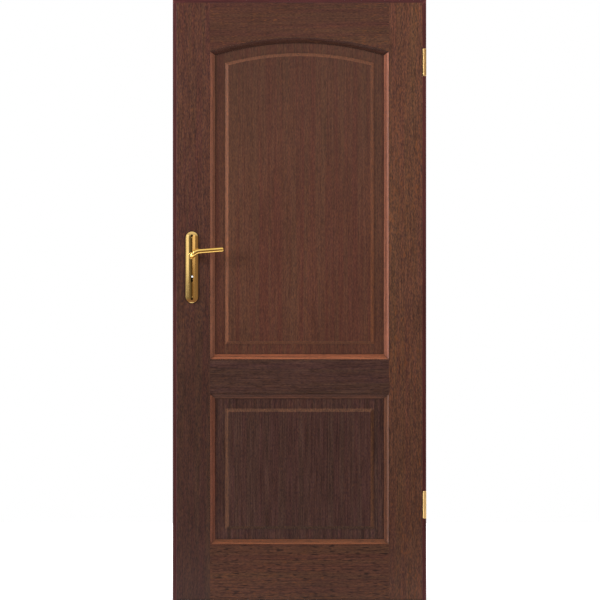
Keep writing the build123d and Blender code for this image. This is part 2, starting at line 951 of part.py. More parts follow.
with BuildPart() as hinge_pins:
    for hinge_height in hinge_heights.values():
        rod((hinge_x, hinge_y, hinge_height - pin_length / 2), (0, 0, 1), pin_radius, pin_length)
keep(hinge_pins.part, "hinge_pins")

with BuildPart() as hinge_washers:
    for hinge_height in hinge_heights.values():
        washer_start = (hinge_x, hinge_y, hinge_height - washer_thickness / 2)
        rod(washer_start, (0, 0, 1), barrel_radius, washer_thickness)
        rod(washer_start, (0, 0, 1), pin_radius + pin_play, washer_thickness, Mode.SUBTRACT)
keep(hinge_washers.part, "hinge_washers")

# Lock forend, with openings for both bolts
with BuildPart() as lock_forend:
    block((forend_face, case_front), about(lock_y, forend_width), (forend_low, forend_top))
    block(
        (forend_face, case_front),
        about(lock_y, 2 * room_half),
        about(latch_height_centre, latch_height + 2 * slide_play),
        Mode.SUBTRACT,
    )
    block(
        (forend_face, case_front),
        about(lock_y, bolt_thickness + 2 * slide_play),
        about(bolt_height_centre, bolt_height + 2 * slide_play),
        Mode.SUBTRACT,
    )
    for screw_height in (forend_top - forend_screw_edge, forend_low + forend_screw_edge):
        screw_hole((forend_face, lock_y, screw_height), (1, 0, 0), forend_screw_length)
keep(lock_forend.part, "lock_forend")

with BuildPart() as forend_screws:
    for screw_height in (forend_top - forend_screw_edge, forend_low + forend_screw_edge):
        add(screw((forend_face, lock_y, screw_height), (1, 0, 0), forend_screw_length))
keep(forend_screws.part, "forend_screws")

# Lock case: a folded tray, open at its front edge, with a post that guides the dead bolt. The key's bit
# stands to one side of its shank, so the slots in the case and in the cover lie on opposite sides.
bolt_post_x = forend_face + bolt_head_length + bolt_post_inset
with BuildPart() as lock_case:
    block((case_front, case_back), (lock_y - room_half, lock_y + case_half), (case_low, case_top))
    block(
        (case_front, case_back - case_wall),
        (lock_y - room_half, lock_y + room_half),
        (case_low + case_wall, case_top - case_wall),
        Mode.SUBTRACT,
    )
    rod((bolt_post_x, lock_y + room_half, bolt_height_centre), (0, -1, 0), bolt_post_radius, 2 * room_half)
    rod(
        (spindle_x, lock_y + room_half, spindle_height),
        (0, 1, 0),
        journal_radius + hub_play,
        case_wall,
        Mode.SUBTRACT,
    )
    with BuildSketch(Plane.XZ.offset(-lock_y - room_half)):
        add(keyhole(key_pin_radius, key_bit_width, key_bit_drop, key_bit_shift))
    extrude(amount=-case_wall, mode=Mode.SUBTRACT)
keep(lock_case.part, "lock_case")

# Lock cover: the flat plate that closes the tray
with BuildPart() as lock_cover:
    block((case_front, case_back), (lock_y - case_half, lock_y - room_half), (case_low, case_top))
    rod(
        (spindle_x, lock_y - case_half, spindle_height),
        (0, 1, 0),
        journal_radius + hub_play,
        case_wall,
        Mode.SUBTRACT,
    )
    with BuildSketch(Plane.XZ.offset(-lock_y + room_half)):
        add(keyhole(key_pin_radius, key_bit_width, key_bit_drop, -key_bit_shift))
    extrude(amount=case_wall, mode=Mode.SUBTRACT)
keep(lock_cover.part, "lock_cover")

# Latch bolt: bevelled head, forked tail with a lug that the follower's arm pushes
latch_half = room_half - slide_play
latch_back = forend_face - latch_throw + latch_head_length
tail_end = latch_back + tail_length
with BuildPart() as latch_bolt:
    block(
        (forend_face - latch_throw, latch_back),
        (lock_y - latch_half, lock_y + latch_half),
        about(latch_height_centre, latch_height),
    )
    block(
        (latch_back, tail_end),
        (lock_y - latch_half, lock_y + latch_half),
        about(latch_height_centre, tail_height),
    )
    block(
        (latch_back + latch_half, tail_end - tail_lug),
        about(lock_y, tail_slot_width),
        about(latch_height_centre, tail_height),
        Mode.SUBTRACT,
    )
    with BuildSketch(Plane.XY.offset(latch_height_centre - latch_height / 2)):
        with BuildLine():
            Polyline(
                (forend_face - latch_throw, lock_y - latch_half + latch_tip),
                (forend_face - latch_throw, lock_y + latch_half),
                (forend_face, lock_y + latch_half),
                close=True,
            )
        make_face()
    extrude(amount=latch_height, mode=Mode.SUBTRACT)
keep(latch_bolt.part, "latch_bolt")

# Dead bolt: square head, slotted tail with two notches for the key's bit
bolt_back = forend_face + bolt_head_length
bolt_tail_end = bolt_back + bolt_tail_length
bolt_tail_low = bolt_height_centre - bolt_tail_height / 2
with BuildPart() as dead_bolt:
    block((forend_face, bolt_back), about(lock_y, bolt_thickness), about(bolt_height_centre, bolt_height))
    block(
        (bolt_back, bolt_tail_end),
        about(lock_y, bolt_tail_thickness),
        about(bolt_height_centre, bolt_tail_height),
    )
    slot_half = bolt_post_radius + slide_play
    with BuildSketch(Plane.XZ.offset(-lock_y)):
        with Locations((bolt_post_x + bolt_throw / 2, bolt_height_centre)):
            SlotOverall(bolt_throw + 2 * slot_half, 2 * slot_half)
        for notch_x in (spindle_x, spindle_x + bolt_throw / 2):
            with Locations((notch_x, bolt_tail_low)):
                Rectangle(bolt_notch_width, bolt_notch_depth, align=(Align.CENTER, Align.MIN))
    extrude(amount=bolt_tail_thickness, both=True, mode=Mode.SUBTRACT)
keep(dead_bolt.part, "dead_bolt")

# Follower: hub with a square hole, an upper arm for the latch and a lower arm for the spring
with BuildPart() as follower:
    rod(
        (spindle_x, lock_y - latch_half, spindle_height), (0, 1, 0), hub_radius, 2 * latch_half
    )
    rod((spindle_x, lock_y - case_half, spindle_height), (0, 1, 0), journal_radius, case_thickness)
    arm_span = (spindle_x - arm_half_width, spindle_x + arm_half_width)
    block(arm_span, about(lock_y, arm_thickness), (spindle_height, spindle_height + arm_reach))
    rod(
        (spindle_x, lock_y - arm_thickness / 2, spindle_height + arm_reach),
        (0, 1, 0),
        arm_half_width,
        arm_thickness,
    )
    block(arm_span, about(lock_y, lower_arm_thickness), (spindle_height - arm_reach, spindle_height))
    square = spindle_size + 2 * spindle_play
    block(
        about(spindle_x, square),
        about(lock_y, case_thickness),
        about(spindle_height, square),
        Mode.SUBTRACT,
    )
keep(follower.part, "follower")

# Flat springs: under the follower's lower arm, behind the latch's tail and on the dead bolt's tail
half_spring = spring_thickness / 2
return_spring_reach = spindle_x - arm_half_width - slide_play - half_spring
with BuildPart() as return_spring:
    with BuildSketch(Plane.XZ.offset(-lock_y)):
        with BuildLine():
            Polyline(
                (case_front + slide_play + half_spring, spindle_height - hub_radius),
                ((case_front + return_spring_reach) / 2, spindle_height - 2 * hub_radius - arm_half_width),
                (return_spring_reach, spindle_height - arm_reach + arm_half_width),
            )
        trace(line_width=spring_thickness)
    extrude(amount=spring_width / 2, both=True)
keep(return_spring.part, "return_spring")

latch_spring_start = tail_end + slide_play + half_spring
latch_spring_stop = case_back - case_wall - slide_play - half_spring
with BuildPart() as latch_spring:
    with BuildSketch(Plane.XZ.offset(-lock_y)):
        with BuildLine():
            Polyline(
                (latch_spring_start, latch_height_centre),
                ((latch_spring_start + latch_spring_stop) / 2, latch_height_centre - latch_height / 2),
                (latch_spring_stop, latch_height_centre),
            )
        trace(line_width=spring_thickness)
    extrude(amount=spring_width / 2, both=True)
keep(latch_spring.part, "latch_spring")

bolt_spring_low = bolt_height_centre + bolt_tail_height / 2 + slide_play + half_spring
with BuildPart() as bolt_spring:
    with BuildSketch(Plane.XZ.offset(-lock_y)):
        with BuildLine():
            ThreePointArc(
                (spindle_x, bolt_spring_low + arm_half_width),
                ((spindle_x + latch_spring_stop) / 2, bolt_spring_low),
                (latch_spring_stop, bolt_spring_low + arm_half_width),
            )
        trace(line_width=spring_thickness)
    extrude(amount=spring_width / 2, both=True)
keep(bolt_spring.part, "bolt_spring")

# Handle plates, bushes and screws
front_plate = handle_plate()
keep(front_plate, "front_plate")
keep(mirror(front_plate, about=Plane.XZ), "back_plate")

with BuildPart() as plate_bushes:
    for bush_side in (-1, 1):
        bush_start = (spindle_x, bush_side * back, spindle_height)
        rod(bush_start, (0, bush_side, 0), bush_radius, bush_length)
        rod(bush_start, (0, bush_side, 0), neck_radius + neck_play, bush_length, Mode.SUBTRACT)
keep(plate_bushes.part, "plate_bushes")

with BuildPart() as plate_screws:
    for screw_height in plate_screw_heights():
        add(screw((spindle_x, plate_screw_face, screw_height), (0, 1, 0), plate_screw_length))
        add(screw((spindle_x, -plate_screw_face, screw_height), (0, -1, 0), plate_screw_length))
keep(plate_screws.part, "plate_screws")

# Levers, the spindle that joins them and their grub screws
front_lever = lever()
keep(front_lever, "front_lever")
keep(mirror(front_lever, about=Plane.XZ), "back_lever")

with BuildPart() as spindle:
    block(about(spindle_x, spindle_size), about(0, spindle_length), about(spindle_height, spindle_size))
keep(spindle.part, "spindle")

with BuildPart() as grub_screws:
    for grub_side in (1, -1):
        rod((spindle_x, grub_side * grub_y, grub_top), (0, 0, -1), grub_radius, grub_length)
keep(grub_screws.part, "grub_screws")
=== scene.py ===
from math import pi

import bmesh
import bpy
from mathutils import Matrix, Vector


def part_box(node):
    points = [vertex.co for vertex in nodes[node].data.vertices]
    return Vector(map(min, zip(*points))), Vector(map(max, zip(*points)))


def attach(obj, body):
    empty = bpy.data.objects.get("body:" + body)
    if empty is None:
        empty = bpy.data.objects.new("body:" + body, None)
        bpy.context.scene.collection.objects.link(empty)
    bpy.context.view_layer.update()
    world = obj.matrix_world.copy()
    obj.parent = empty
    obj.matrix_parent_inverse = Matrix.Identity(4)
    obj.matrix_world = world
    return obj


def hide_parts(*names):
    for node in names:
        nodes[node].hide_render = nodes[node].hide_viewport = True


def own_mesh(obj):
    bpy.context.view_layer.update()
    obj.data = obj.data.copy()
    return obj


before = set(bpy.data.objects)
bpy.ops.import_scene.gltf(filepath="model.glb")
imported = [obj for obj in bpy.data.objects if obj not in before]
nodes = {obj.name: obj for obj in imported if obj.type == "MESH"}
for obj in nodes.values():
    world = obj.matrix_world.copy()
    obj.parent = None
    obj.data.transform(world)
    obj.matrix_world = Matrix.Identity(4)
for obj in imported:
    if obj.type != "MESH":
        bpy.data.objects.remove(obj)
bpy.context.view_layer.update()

# Stiles: the two upright boards of the leaf, flat-sawn oak planed to 40 mm and lipped on the outer edge.
# The lock stile is mortised for the lock, and the hinge stile is drilled for the studs of the hinges.
# Both are stained dark walnut and varnished.
pore_stain = "#2b1c17"
# Painted shade: the colour that a board darkens to towards one end.
height_shade_colour = "#352b27"
# Painted shade: its colour, and how far and how closed in a corner or crease must be before it darkens.
corner_shade_colour = "#1e1512"
corner_reach = 0.014
corner_begins = 0.98
corner_full = 0.7
slope_begins = 0.99
slope_full = 0.95
varnish_smooth = 0.3
varnish_rough = 0.42
cloudiness = 0.1
speck_warmth = (0.6, 0.5, 0.25)


def linear(colour):
    """Linear RGBA of an sRGB hex colour."""
    channels = [int(colour[i : i + 2], 16) / 255 for i in (1, 3, 5)]
    return [c / 12.92 if c <= 0.04045 else ((c + 0.055) / 1.055) ** 2.4 for c in channels] + [1.0]


def add_node(tree, kind, inputs=None, **settings):
    """Adds one node with its settings. An input is set, or linked to a socket or a node's first output."""
    node = tree.nodes.new(kind)
    for name, value in settings.items():
        setattr(node, name, value)
    for key, value in (inputs or {}).items():
        named = [socket for socket in node.inputs if socket.enabled and socket.name == key]
        socket = named[0] if named else node.inputs[key]
        several = value if isinstance(value, list) and isinstance(value[0], bpy.types.Node) else [value]
        for item in several:
            if isinstance(item, bpy.types.Node):
                item = next(output for output in item.outputs if output.enabled)
            if isinstance(item, bpy.types.NodeSocket):
                tree.links.new(item, socket)
            else:
                socket.default_value = item
    return node


def dress(material, *names):
    """Puts one material on CAD pieces."""
    for name in names:
        nodes[name].data.materials.clear()
        nodes[name].data.materials.append(material)


def stained_oak(
    name,
    grain,
    brown,
    red,
    fleck,
    shift,
    pores,
    flecks,
    band_mm=20,
    fibre_mm=4.0,
    bare=None,
    height_shade=(0.0, 1.0, 0.0),
    corners=0.8,
    toe_shade=(0.0, 1.0, 0.0),
    streaks=0.4,
    specks=0.5,
):
    """Oak under walnut stain and satin varnish, with its fibres along one axis.

    The stain settles in the open pores, which read as short dark dashes, and takes less on hard late wood,
    which shows as orange flecks. Bands of brown and red follow the growth rings, long streaks follow the
    fibres, and short warm specks lie between them. Satin varnish leaves a soft sheen.

    A sloping face was sanded more and holds less stain, so it has the colour bare. A board is painted darker
    towards one end as painted shade, where less light falls on it: height_shade gives the heights, in
    metres, where that is full and where it ends, and its share. Corners and creases are painted darker as
    painted shade, by the share corners, and so is the toe of a bead: toe_shade gives the distances from the
    middle of the leaf's thickness where that is full and where it ends, and its share.

    Real pores are about 0.3 mm wide: pores, flecks and fibres are drawn about 4 mm wide and specks 2.4 mm,
    or none would show.
    """
    material = bpy.data.materials.new(name)
    material.use_nodes = True
    tree = material.node_tree
    tree.nodes.clear()
    place = add_node(tree, "ShaderNodeTexCoord")
    turned = add_node(
        tree,
        "ShaderNodeMapping",
        {
            "Vector": place.outputs["Object"],
            "Location": (shift, shift, shift),
            "Rotation": (0, pi / 2 if grain == "X" else 0, 0),
        },
    )
    patterns = {}
    for pattern, width_mm, length_mm, detail, low, high in (
        ("band", band_mm, 900, 2.5, 0.36, 0.64),
        ("cloud", 170, 520, 2.0, 0.3, 0.7),
        ("fibre", fibre_mm, 150, 2.0, 0.25, 0.75),
        ("pore", 4.2, 30, 1.0, 0.55, 0.68),
        ("fleck", 4.4, 18, 1.0, 0.57, 0.68),
        ("patch", 80, 260, 2.0, 0.42, 0.6),
        ("speck", 2.4, 9, 1.0, 0.3, 0.7),
    ):
        spread = add_node(
            tree,
            "ShaderNodeVectorMath",
            {0: turned, 1: (1000 / width_mm, 1000 / width_mm, 1000 / length_mm)},
            operation="MULTIPLY",
        )
        apart = add_node(
            tree, "ShaderNodeVectorMath", {0: spread, 1: (width_mm, length_mm, width_mm)}, operation="ADD"
        )
        noise = add_node(tree, "ShaderNodeTexNoise", {"Vector": apart, "Scale": 1.0, "Detail": detail})
        patterns[pattern] = add_node(
            tree, "ShaderNodeMapRange", {"Value": noise, "From Min": low, "From Max": high}
        )
    ring = add_node(
        tree,
        "ShaderNodeMix",
        {"Factor": patterns["band"], "A": linear(brown), "B": linear(red)},
        data_type="RGBA",
    )
    streak = add_node(
        tree,
        "ShaderNodeMapRange",
        {"Value": patterns["fibre"], "To Min": 1 - streaks, "To Max": 1 + streaks},
    )
    warmth = add_node(
        tree,
        "ShaderNodeMix",
        {
            "Factor": patterns["speck"],
            "A": [1 - share * specks for share in speck_warmth] + [1],
            "B": [1 + share * specks for share in speck_warmth] + [1],
        },
        data_type="RGBA",
    )
    stain = add_node(
        tree,
        "ShaderNodeMapRange",
        {"Value": patterns["cloud"], "To Min": 1 - cloudiness, "To Max": 1 + cloudiness},
    )
    depth = add_node(tree, "ShaderNodeMath", {0: streak, 1: stain}, operation="MULTIPLY")
    facing = add_node(tree, "ShaderNodeSeparateXYZ", {"Vector": place.outputs["Normal"]})
    flat = add_node(tree, "ShaderNodeMath", {0: facing.outputs["Y"]}, operation="ABSOLUTE")
    # A face begins to count as sloping at 8 degrees from flat, and is fully bare at 18 degrees.
    slope = add_node(
        tree, "ShaderNodeMapRange", {"Value": flat, "From Min": slope_begins, "From Max": slope_full}
    )
    sanded = add_node(
        tree,
        "ShaderNodeMix",
        {"Factor": slope if bare else 0.0, "A": ring, "B": linear(bare or brown)},
        data_type="RGBA",
    )
    speckled = add_node(
        tree,
        "ShaderNodeMix",
        {"Factor": 1.0, "A": sanded, "B": warmth},
        data_type="RGBA",
        blend_type="MULTIPLY",
    )
    body = add_node(
        tree,
        "ShaderNodeMix",
        {"Factor": 1.0, "A": speckled, "B": depth},
        data_type="RGBA",
        blend_type="MULTIPLY",
    )
    hard = add_node(
        tree, "ShaderNodeMath", {0: patterns["fleck"], 1: patterns["patch"]}, operation="MULTIPLY"
    )
    hard_share = add_node(tree, "ShaderNodeMath", {0: hard, 1: flecks}, operation="MULTIPLY")
    flecked = add_node(
        tree,
        "ShaderNodeMix",
        {"Factor": hard_share, "A": body, "B": linear(fleck)},
        data_type="RGBA",
    )
    pore_share = add_node(tree, "ShaderNodeMath", {0: patterns["pore"], 1: pores}, operation="MULTIPLY")
    pored = add_node(
        tree,
        "ShaderNodeMix",
        {"Factor": pore_share, "A": flecked, "B": linear(pore_stain)},
        data_type="RGBA",
    )
    spot = add_node(tree, "ShaderNodeSeparateXYZ", {"Vector": place.outputs["Object"]})
    outward = add_node(tree, "ShaderNodeMath", {0: spot.outputs["Y"]}, operation="ABSOLUTE")
    # Painted shade: a board darkens towards one end, and a bead towards its toe, where less light falls.
    height_shade_share, toe_shade_share = [
        add_node(
            tree,
            "ShaderNodeMapRange",
            {"Value": distance, "From Min": full, "From Max": end, "To Min": share, "To Max": 0.0},
        )
        for distance, (full, end, share) in ((spot.outputs["Z"], height_shade), (outward, toe_shade))
    ]
    height_shaded = add_node(
        tree,
        "ShaderNodeMix",
        {"Factor": height_shade_share, "A": pored, "B": linear(height_shade_colour)},
        data_type="RGBA",
    )
    # Painted shade: faces in corners and creases, which the ambient occlusion finds closed in, are darkened.
    openness = add_node(tree, "ShaderNodeAmbientOcclusion", {"Distance": corner_reach}, samples=8)
    corner_shade_share = add_node(
        tree,
        "ShaderNodeMapRange",
        {
            "Value": openness.outputs["AO"],
            "From Min": corner_begins,
            "From Max": corner_full,
            "To Max": corners,
        },
    )
    painted_shade = add_node(tree, "ShaderNodeMath", {0: corner_shade_share, 1: toe_shade_share}, operation="MAXIMUM")
    tone = add_node(
        tree,
        "ShaderNodeMix",
        {"Factor": painted_shade, "A": height_shaded, "B": linear(corner_shade_colour)},
        data_type="RGBA",
    )
    sheen = add_node(
        tree,
        "ShaderNodeMapRange",
        {"Value": patterns["fibre"], "To Min": varnish_smooth, "To Max": varnish_rough},
    )
    sunk = add_node(tree, "ShaderNodeMath", {0: 1.0, 1: pore_share}, operation="SUBTRACT")
    bump = add_node(tree, "ShaderNodeBump", {"Height": sunk, "Strength": 0.3, "Distance": 0.0004})
    varnish = add_node(
        tree,
        "ShaderNodeBsdfPrincipled",
        {"Base Color": tone, "Roughness": sheen, "Normal": bump, "Specular IOR Level": 0.25},
    )
    add_node(tree, "ShaderNodeOutputMaterial", {"Surface": varnish})
    return material


# Each stile is painted darker towards its foot as painted shade, the lock stile more than the hinge stile.
for stile, shift, brown, red, fleck, pores, flecks, height_shade in (
    ("lock_stile", 3.1, "#593b2f", "#57332e", "#8a5230", 0.4, 0.28, (0.4, 1.5, 0.44)),
    ("hinge_stile", 8.4, "#674533", "#663f33", "#9a582e", 0.4, 0.36, (0.4, 1.5, 0.18)),
):
    oak = stained_oak(
        stile + "_oak", "Z", brown, red, fleck, shift, pores, flecks, height_shade=height_shade, streaks=0.34, specks=0.78
    )
    dress(oak, stile)

# Rails: three level boards of the same oak between the stiles, stub-tongued and dowelled into them.
# The top rail's lower edge is cut to the arch. The middle rail is a darker board, and the bottom rail has
# a livelier figure.

for rail, shift, brown, red, fleck, pores, flecks, streaks, specks in (
    ("top_rail", 1.7, "#573a2d", "#54332c", "#86502f", 0.45, 0.4, 0.27, 0.65),
    ("mid_rail", 5.2, "#4f382f", "#4e3430", "#75482f", 0.5, 0.2, 0.4, 0.5),
    ("bottom_rail", 9.6, "#5b3c2d", "#59362c", "#8c522e", 0.95, 0.35, 0.45, 0.5),
):
    oak = stained_oak(
        rail + "_oak", "X", brown, red, fleck, shift, pores, flecks, streaks=streaks, specks=specks
    )
    dress(oak, rail)

# Dowels: turned beech pins, glued into the rails' ends and the stiles, so none shows on the closed joint.
# Bare beech is pale, with short fine flecks and no stain.

beech = stained_oak(
    "bare_beech",
    "X",
    brown="#c79a6b",
    red="#bd8d5f",
    fleck="#a87c50",
    shift=2.3,
    pores=0.1,
    flecks=0.3,
)
dress(beech, "rail_dowels")

# Panels: boards veneered in straight-grained oak, held in the grooves of the stiles and rails.
# The bevel round each raised field cuts through the veneer, so it is sanded harder and stained lighter.
# The upper panel is painted darker towards its top, as painted shade under the arch.

for panel, shift, brown, red, fleck, bare, fibre_mm, height_shade, streaks, specks in (
    ("upper_panel", 4.5, "#614032", "#60392f", "#82502f", "#7d4d35", 3.8, (1.95, 1.35, 0.3), 0.22, 0.5),
    ("lower_panel", 6.8, "#4d362f", "#4d322e", "#774a32", "#5c3b2a", 4.4, (0.0, 1.0, 0.0), 0.46, 0.6),
):
    oak = stained_oak(
        panel + "_oak",
        "Z",
        brown,
        red,
        fleck,
        shift,
        pores=0.3,
        flecks=0.2,
        band_mm=14,
        fibre_mm=fibre_mm,
        bare=bare,
        height_shade=height_shade,
        streaks=streaks,
        specks=specks,
    )
    dress(oak, panel)

# Beads: oak mouldings with a cove and a sloping toe, mitred at the corners and pinned round each panel.
# Each bead's colour is painted for how light falls on it: the beads that face up or to a side are painted
# lighter, as painted light, and the bead under the arch, which faces down, darker, as painted shade.
bead_toe = 0.0102
bead_crest = 0.019

for bead, grain, shift, brown, red, toe_shade_amount in (
    ("upper_left", "Z", 7.3, "#ab7158", "#a5664f", 0.54),
    ("upper_right", "Z", 1.9, "#a0654f", "#9b5e49", 0.18),
    ("upper_top", "X", 2.9, "#5a382d", "#56332b", 0.62),
    ("upper_bottom", "X", 5.7, "#9d5e40", "#98563a", 0.3),
    ("lower_left", "Z", 3.4, "#96634b", "#905744", 0.38),
    ("lower_right", "Z", 8.8, "#744b39", "#6f4434", 0.12),
    ("lower_top", "X", 4.2, "#6d4738", "#683f32", 0.0),
    ("lower_bottom", "X", 9.1, "#824f34", "#7c472e", 0.42),
):
    oak = stained_oak(
        bead + "_bead_oak_painted_light",
        grain,
        brown,
        red,
        "#a06644",
        shift,
        pores=0.25,
        flecks=0.3,
        # Painted shade in the crease where the bead's toe meets the panel.
        toe_shade=(bead_toe, bead_crest, toe_shade_amount),
        streaks=0.3,
        specks=0.35,
    )
    dress(oak, bead + "_bead_front", bead + "_bead_back")

# Frame: two jambs and a head of one rebated section, mitred at the top corners.
# It is close-grained wood with a redder stain than the leaf, so it shows hardly any figure.

for board, grain, shift, brown, red in (
    ("lock_jamb", "Z", 1.2, "#5f3434", "#5b3131"),
    # The hinge jamb is painted lighter than the lock jamb, as painted light against the leaf's shadow on it.
    ("hinge_jamb", "Z", 4.9, "#703c3b", "#6c3938"),
    ("frame_head", "X", 6.1, "#542d2d", "#502a2b"),
):
    wood = stained_oak(
        board + "_wood",
        grain,
        brown,
        red,
        "#6a3a30",
        shift,
        pores=0.15,
        flecks=0.1,
        band_mm=30,
        corners=0.0,
        streaks=0.3,
        specks=0.2,
    )
    dress(wood, board)

# Corner screws: zinc-plated wood screws, driven down through the head into the ends of the jambs.
# Each has a countersunk head with a cross recess, and a tapered core with a rolled thread.
head_radius_mm = 4.0
head_height_mm = 2.2
shank_radius_mm = 2.0
pitch_mm = 1.8
recess_shares = (0.34, 1.3, 0.9)
core_share = 0.74
tip_share = 0.3
thread_share = 0.66
thread_start_share = 0.32
head_radius = head_radius_mm / 1000
scene = bpy.context.scene


def clouded_finish(name, dark, pale, cloud_mm, detail, smooth, rough, shading=None, relief_mm=0.0):
    """A plain finish whose colour and gloss come and go together in soft clouds.

    The clouds go from a dark, smooth state to a pale, rough one. A relief makes them stand out, and shading
    holds inputs of the shader that are the same all over.
    """
    material = bpy.data.materials.new(name)
    material.use_nodes = True
    tree = material.node_tree
    tree.nodes.clear()
    place = add_node(tree, "ShaderNodeTexCoord")
    cloud = add_node(
        tree,
        "ShaderNodeTexNoise",
        {"Vector": place.outputs["Object"], "Scale": 1000 / cloud_mm, "Detail": detail},
    )
    tint = add_node(
        tree, "ShaderNodeMix", {"Factor": cloud, "A": linear(dark), "B": linear(pale)}, data_type="RGBA"
    )
    gloss = add_node(tree, "ShaderNodeMapRange", {"Value": cloud, "To Min": smooth, "To Max": rough})
    surface = {"Base Color": tint, "Roughness": gloss, **(shading or {})}
    if relief_mm:
        surface["Normal"] = add_node(
            tree, "ShaderNodeBump", {"Height": cloud, "Strength": 0.2, "Distance": relief_mm / 1000}
        )
    shader = add_node(tree, "ShaderNodeBsdfPrincipled", surface)
    add_node(tree, "ShaderNodeOutputMaterial", {"Surface": shader})
    return material


# Zinc-plated steel: a thin bright plating on rolled steel, whose tumbled surface gives a soft grey gloss.
zinc = clouded_finish(
    "zinc_plated_steel",
    dark="#9a9ca0",
    pale="#b6b3a8",
    cloud_mm=8,
    detail=4.0,
    smooth=0.26,
    rough=0.46,
    shading={"Metallic": 1.0},
)

screw_tree = bpy.data.node_groups.new("wood_screw", "GeometryNodeTree")
screw_tree.interface.new_socket("Places", in_out="INPUT", socket_type="NodeSocketGeometry")
screw_inputs = {
    name: screw_tree.interface.new_socket(name, in_out="INPUT", socket_type=kind).identifier
    for name, kind in (
        ("Head Radius", "NodeSocketFloat"),
        ("Head Height", "NodeSocketFloat"),
        ("Shank Radius", "NodeSocketFloat"),
        ("Length", "NodeSocketFloat"),
        ("Pitch", "NodeSocketFloat"),
        ("Finish", "NodeSocketMaterial"),
    )
}
screw_tree.interface.new_socket("Screws", in_out="OUTPUT", socket_type="NodeSocketGeometry")
given = add_node(screw_tree, "NodeGroupInput")
cone = add_node(
    screw_tree,
    "GeometryNodeMeshCone",
    {
        "Vertices": 32,
        "Radius Top": given.outputs["Shank Radius"],
        "Radius Bottom": given.outputs["Head Radius"],
        "Depth": given.outputs["Head Height"],
    },
)
recess_size = add_node(
    screw_tree,
    "ShaderNodeVectorMath",
    {0: recess_shares, "Scale": given.outputs["Head Radius"]},
    operation="SCALE",
)
recess = add_node(screw_tree, "GeometryNodeMeshCube", {"Size": recess_size})
recess_across = add_node(
    screw_tree, "GeometryNodeTransform", {"Geometry": recess, "Rotation": (0, 0, pi / 2)}
)
crossed = add_node(
    screw_tree,
    "GeometryNodeMeshBoolean",
    {"Mesh 1": cone, "Mesh 2": [recess, recess_across]},
    operation="DIFFERENCE",
)
core_radius = add_node(
    screw_tree, "ShaderNodeMath", {0: given.outputs["Shank Radius"], 1: core_share}, operation="MULTIPLY"
)
thread_depth = add_node(
    screw_tree, "ShaderNodeMath", {0: given.outputs["Shank Radius"], 1: core_radius}, operation="SUBTRACT"
)
tip_radius = add_node(screw_tree, "ShaderNodeMath", {0: core_radius, 1: tip_share}, operation="MULTIPLY")
core = add_node(
    screw_tree,
    "GeometryNodeMeshCone",
    {
        "Vertices": 20,
        "Radius Top": tip_radius,
        "Radius Bottom": core_radius,
        "Depth": given.outputs["Length"],
    },
)
thread_height = add_node(
    screw_tree, "ShaderNodeMath", {0: given.outputs["Length"], 1: thread_share}, operation="MULTIPLY"
)
thread_start = add_node(
    screw_tree, "ShaderNodeMath", {0: given.outputs["Length"], 1: thread_start_share}, operation="MULTIPLY"
)
turns = add_node(
    screw_tree, "ShaderNodeMath", {0: thread_height, 1: given.outputs["Pitch"]}, operation="DIVIDE"
)
spiral = add_node(
    screw_tree,
    "GeometryNodeCurveSpiral",
    {
        "Resolution": 16,
        "Rotations": turns,
        "Start Radius": core_radius,
        "End Radius": tip_radius,
        "Height": thread_height,
    },
)
ridge = add_node(screw_tree, "GeometryNodeCurvePrimitiveCircle", {"Resolution": 4, "Radius": thread_depth})
thread = add_node(
    screw_tree, "GeometryNodeCurveToMesh", {"Curve": spiral, "Profile Curve": ridge, "Fill Caps": True}
)
thread_shift = add_node(screw_tree, "ShaderNodeCombineXYZ", {"Z": thread_start})
threaded = add_node(screw_tree, "GeometryNodeTransform", {"Geometry": thread, "Translation": thread_shift})
whole = add_node(screw_tree, "GeometryNodeJoinGeometry", {"Geometry": [crossed, core, threaded]})
drive = add_node(screw_tree, "GeometryNodeInputNamedAttribute", {"Name": "drive"}, data_type="FLOAT_VECTOR")
aim = add_node(screw_tree, "FunctionNodeAlignRotationToVector", {"Vector": drive}, axis="Z")
driven = add_node(
    screw_tree,
    "GeometryNodeInstanceOnPoints",
    {"Points": given.outputs["Places"], "Instance": whole, "Rotation": aim},
)
real = add_node(screw_tree, "GeometryNodeRealizeInstances", {"Geometry": driven})
plated = add_node(
    screw_tree, "GeometryNodeSetMaterial", {"Geometry": real, "Material": given.outputs["Finish"]}
)
add_node(screw_tree, "NodeGroupOutput", {"Screws": plated})


def drive_screws(node, body, finish, length_mm, places):
    """Puts real screws in place of a CAD node. Places are the heads' middles and the ways they go in."""
    points = bpy.data.meshes.new(node + "_places")
    points.from_pydata([place for place, way in places], [], [])
    ways = points.attributes.new("drive", "FLOAT_VECTOR", "POINT")
    for entry, (place, way) in zip(ways.data, places):
        entry.vector = way
    screws = bpy.data.objects.new(node + "_threaded", points)
    scene.collection.objects.link(screws)
    modifier = screws.modifiers.new("screws", "NODES")
    modifier.node_group = screw_tree
    modifier[screw_inputs["Head Radius"]] = head_radius
    modifier[screw_inputs["Head Height"]] = head_height_mm / 1000
    modifier[screw_inputs["Shank Radius"]] = shank_radius_mm / 1000
    modifier[screw_inputs["Length"]] = length_mm / 1000
    modifier[screw_inputs["Pitch"]] = pitch_mm / 1000
    modifier[screw_inputs["Finish"]] = finish
    evaluated = screws.evaluated_get(bpy.context.evaluated_depsgraph_get())
    plain = bpy.data.meshes.new_from_object(evaluated)
    screws.modifiers.remove(modifier)
    screws.data = plain
    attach(screws, body)
    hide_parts(node)


low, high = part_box("corner_screws")
drive_screws(
    "corner_screws",
    "frame",
    zinc,
    length_mm=60,
    places=[
        ((x, y, high.z), (0, 0, -1))
        for x in (low.x + head_radius, high.x - head_radius)
        for y in (low.y + head_radius, high.y - head_radius)
    ],
)

